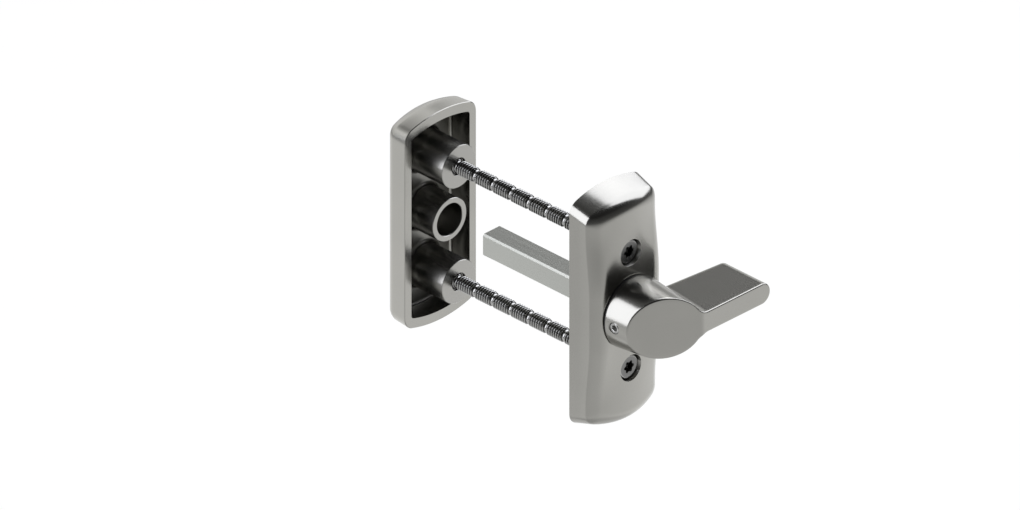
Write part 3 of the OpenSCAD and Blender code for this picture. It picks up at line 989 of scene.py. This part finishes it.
# The narrow screen beside that end, and the gap between the two, up to GAP degrees wide
SCREEN_START = (24.0, 32.0)
SCREEN_END = (41.0, 45.0)
SCREEN_TONE = 1.7
SCREEN_UP = [(-4.0, 0.62), (8.0, 0.32), (18.0, 0.22), (28.0, 0.44), (38.0, 1.0), (46.0, 0.6),
             (56.0, 0.1), (62.0, 0.03)]
GAP = 4.0
GAP_UP = [(14.0, 0.0), (25.0, 1.0), (35.0, 1.0), (44.0, 0.0)]

# The rest of the room, whose upper part is darker in front of the part and paler behind it
ROOM_UP = [(-20.0, 0.25), (-5.0, 0.14), (8.0, 0.08), (40.0, 0.06), (60.0, 0.07), (90.0, 0.08)]
UPPER_HEIGHTS = (15.0, 35.0)
UPPER_DEPTHS = (-0.3, 0.5)
UPPER_CHANGE = (-0.6, 0.8)


def make_world():
    """A dark studio with a pale wall behind the part, and plain white to the camera."""
    world = bpy.data.worlds.new("studio")
    bpy.context.scene.world = world
    world.use_nodes = True
    graph = Graph(world.node_tree)
    graph.nodes.clear()
    x, y, z = graph.split(graph.place("Generated"))
    bearing = graph.bearing(x, y)
    height = graph.calculate("DEGREES", graph.calculate("ARCSINE", z))

    def by_height(tones):
        return graph.tone_ramp(height, -90.0, 90.0, tones)

    leaning = graph.calculate("ADD", bearing, graph.soft_step(height, *LEAN_HEIGHTS, *LEAN))
    wall_across = graph.times(graph.soft_step(leaning, *WALL_START),
                              graph.soft_step(bearing, *WALL_END, 1.0, 0.0))
    wall = graph.times(wall_across, graph.times(by_height(WALL_UP), WALL_TONE))
    near_gap = graph.calculate("ADD", bearing, graph.times(by_height(GAP_UP), GAP))
    screen_across = graph.times(graph.soft_step(bearing, *SCREEN_START),
                                graph.soft_step(near_gap, *SCREEN_END, 1.0, 0.0))
    screen = graph.times(screen_across, graph.times(by_height(SCREEN_UP), SCREEN_TONE))
    upper = graph.times(graph.soft_step(height, *UPPER_HEIGHTS),
                        graph.soft_step(y, *UPPER_DEPTHS, *UPPER_CHANGE))
    room = graph.times(by_height(ROOM_UP), graph.calculate("ADD", upper, 1.0))
    walls = graph.calculate("MAXIMUM", wall, screen)
    studio = graph.nodes.new("ShaderNodeBackground")
    graph.links.new(graph.calculate("MAXIMUM", walls, room), studio.inputs["Color"])
    white = graph.nodes.new("ShaderNodeBackground")
    white.inputs["Color"].default_value = (1, 1, 1, 1)
    seen = graph.blend_shaders(graph.ray_mask("Is Camera Ray"), studio.outputs["Background"],
                               white.outputs["Background"])
    out = graph.nodes.new("ShaderNodeOutputWorld")
    graph.links.new(seen, out.inputs["Surface"])


# The floor: its height and radius in millimetres, its colour, and how bright it looks to the
# camera. FLOOR_GLOW is the share of its light that does not come from the lamps.
FLOOR_Z = -260.0
FLOOR_R = 2500.0
FLOOR_EDGES = 96
FLOOR_COLOUR = (0.92, 0.92, 0.92, 1)
FLOOR_WHITE = 1.03
FLOOR_GLOW = 0.9

# A painted pool of light in it, which the metal sees, with distances in metres: fading with
# distance, a painted shadow just below the part, and changing with the bearing
FLOOR_BRIGHT = 1.36
FLOOR_FADE = 1.25
FLOOR_NEAR = 0.35
FLOOR_SOFT = 0.06
FLOOR_PAINTED_SHADOW = 0.7
FLOOR_PAINTED_POOL = [(-180.0, 0.6), (-106.0, 0.66), (-70.0, 0.78), (-30.0, 0.93), (10.0, 0.95),
                (118.0, 1.0), (127.0, 1.0), (132.0, 0.75), (136.0, 0.46), (148.0, 0.76),
                (168.0, 0.75), (180.0, 0.6)]


def make_floor():
    """A pale floor, evenly white to the camera. In the metal it shows a painted pool of light,
    darker far away and changing with the bearing, with a painted shadow just below the part.
    """
    edge = [(FLOOR_R * math.cos(a), FLOOR_R * math.sin(a), FLOOR_Z)
            for a in full_turn(FLOOR_EDGES)]
    floor = make_object("studio_floor", edge, [tuple(range(FLOOR_EDGES))])
    material, graph = new_material("pale_floor")
    graph.nodes.remove(graph.nodes["Principled BSDF"])
    place = graph.place("Object")
    x, y, _ = graph.split(place)
    # Painted pool of light by bearing and distance, with a painted shadow just below the part
    around = graph.tone_ramp(graph.bearing(x, y), -180.0, 180.0, FLOOR_PAINTED_POOL)
    length = graph.length(place)
    far = graph.calculate("POWER", graph.calculate("DIVIDE", length, FLOOR_FADE), 2.0)
    falloff = graph.calculate("DIVIDE", FLOOR_BRIGHT, graph.calculate("ADD", far, 1.0))
    below = graph.soft_step(length, FLOOR_NEAR - FLOOR_SOFT, FLOOR_NEAR, FLOOR_PAINTED_SHADOW, 1.0)
    seen = graph.times(around, graph.times(falloff, below))
    strength = graph.blend("FLOAT", graph.ray_mask("Is Camera Ray"), seen, FLOOR_WHITE)
    glow = graph.nodes.new("ShaderNodeEmission")
    graph.links.new(strength, glow.inputs["Strength"])
    matt = graph.nodes.new("ShaderNodeBsdfDiffuse")
    matt.inputs["Color"].default_value = FLOOR_COLOUR
    mask = graph.ray_mask("Is Camera Ray", "Is Glossy Ray", "Is Transmission Ray")
    lit = graph.blend_shaders(graph.times(mask, FLOOR_GLOW), matt.outputs["BSDF"],
                              glow.outputs["Emission"])
    graph.links.new(lit, graph.nodes["Material Output"].inputs["Surface"])
    floor.data.materials.append(material)


# Lamps: name, bearing and height, width and height in metres, and brightness of the face
LAMPS = [
    ("softbox_right", (-3, 42), (1.65, 2.0), 2.5),
    ("softbox_left", (162, 18), (1.55, 1.85), 2.58),
]
LAMP_DISTANCE = 1.6
LAMP_COLOUR = (0.925, 0.937, 1.0)


def aim(obj, toward, distance):
    """Puts an object at a distance from the middle of the view, and turns it to face there."""
    obj.location = Vector(VIEW_CENTRE) * MM + toward * distance
    obj.rotation_euler = toward.to_track_quat("Z", "Y").to_euler()


def direction(bearing, height):
    """The direction at a bearing and a height in degrees."""
    b, h = math.radians(bearing), math.radians(height)
    return Vector((math.cos(b) * math.cos(h), math.sin(b) * math.cos(h), math.sin(h)))


def make_lamps():
    for name, at, size, radiance in LAMPS:
        lamp = bpy.data.lights.new(name, "AREA")
        lamp.shape = "RECTANGLE"
        lamp.size, lamp.size_y = size
        lamp.energy = radiance * math.pi * size[0] * size[1]
        lamp.color = LAMP_COLOUR
        obj = bpy.data.objects.new(name, lamp)
        bpy.context.scene.collection.objects.link(obj)
        aim(obj, direction(*at).normalized(), LAMP_DISTANCE)


def make_camera():
    data = bpy.data.cameras.new("photo_view")
    data.type = "ORTHO"
    data.ortho_scale = PHOTO_W / PIXELS_PER_MM * MM
    camera = bpy.data.objects.new("photo_view", data)
    bpy.context.scene.collection.objects.link(camera)
    aim(camera, Vector((math.sin(VIEW_AZIMUTH) * math.cos(VIEW_ELEVATION),
                        -math.cos(VIEW_AZIMUTH) * math.cos(VIEW_ELEVATION),
                        math.sin(VIEW_ELEVATION))), CAMERA_DISTANCE)
    bpy.context.scene.camera = camera


bpy.context.scene.view_settings.view_transform = "Standard"
make_camera()
make_world()
make_floor()
make_lamps()

NICKEL = (0.38, 0.375, 0.35)
nickel = surface("satin_nickel", NICKEL, 0.2)
# The inside and the turned nickel get painted shade where other surfaces stand close
inside = surface("nickel_inside", NICKEL, 0.32, grain_scale=1200.0, bump=0.01)
paint_corner_shade(inside, 12.0 * MM, 0.3)
turned = surface("turned_nickel", (0.385, 0.38, 0.36), 0.25, grain=(1.0, 0.2, 1.0), bump=0.008)
paint_corner_shade(turned, 9.0 * MM, 0.9)
steel = surface("bright_steel", (0.49, 0.5, 0.472), 0.25, grain=(1.0, 0.03, 1.0),
                grain_scale=1500.0, bump=0.0005, variation=0.02)
dark = surface("dark_steel", (0.44, 0.44, 0.43), 0.18, variation=0.05)
# Painted shade in the screws' thread roots and recesses, with a painted highlight on the heads'
# rims
paint_screw_shade(dark)
plastic = surface("dark_polymer", (0.012, 0.012, 0.013), 0.5, bump=0.05, variation=0.2,
                  metallic=0.0)

PIECES = [
    (make_front_plate(), "front", ["front_plate"], "satin_nickel", nickel),
    (make_thumb_turn(), "turn", ["thumb_turn"], "satin_nickel", nickel),
    (make_spindle(), "turn", ["spindle"], "bright_steel", steel),
    (make_grub_screw(), "turn", ["grub_screw"], "dark_steel", dark),
    (make_spring_washer(), "turn", ["spring_washer"], "bright_steel", steel),
    (make_screw("upper_break_off_screw", FIXING_Z), "upper_screw", ["upper_fixing_screw"],
     "dark_steel", dark),
    (make_screw("lower_break_off_screw", -FIXING_Z), "lower_screw", ["lower_fixing_screw"],
     "dark_steel", dark),
    (make_rear_plate(), "rear", ["rear_plate"], "satin_nickel", nickel),
    (make_threaded_post("upper_post", FIXING_Z), "rear", ["upper_threaded_post"],
     "satin_nickel", turned),
    (make_threaded_post("lower_post", -FIXING_Z), "rear", ["lower_threaded_post"],
     "satin_nickel", turned),
    (make_guide_post(), "rear", ["centre_guide_post"], "satin_nickel", turned),
]
for piece, body, nodes, slot, material in PIECES:
    if len(piece.data.materials) > INSIDE:
        piece.data.materials[OUTSIDE] = material
        piece.data.materials[INSIDE] = inside
    else:
        piece.data.materials.append(material)
    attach(piece, body)
    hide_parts(*nodes)

for node, material in (("neck_bush", plastic), ("retaining_ring", dark)):
    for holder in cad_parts[node].material_slots:
        holder.material = material
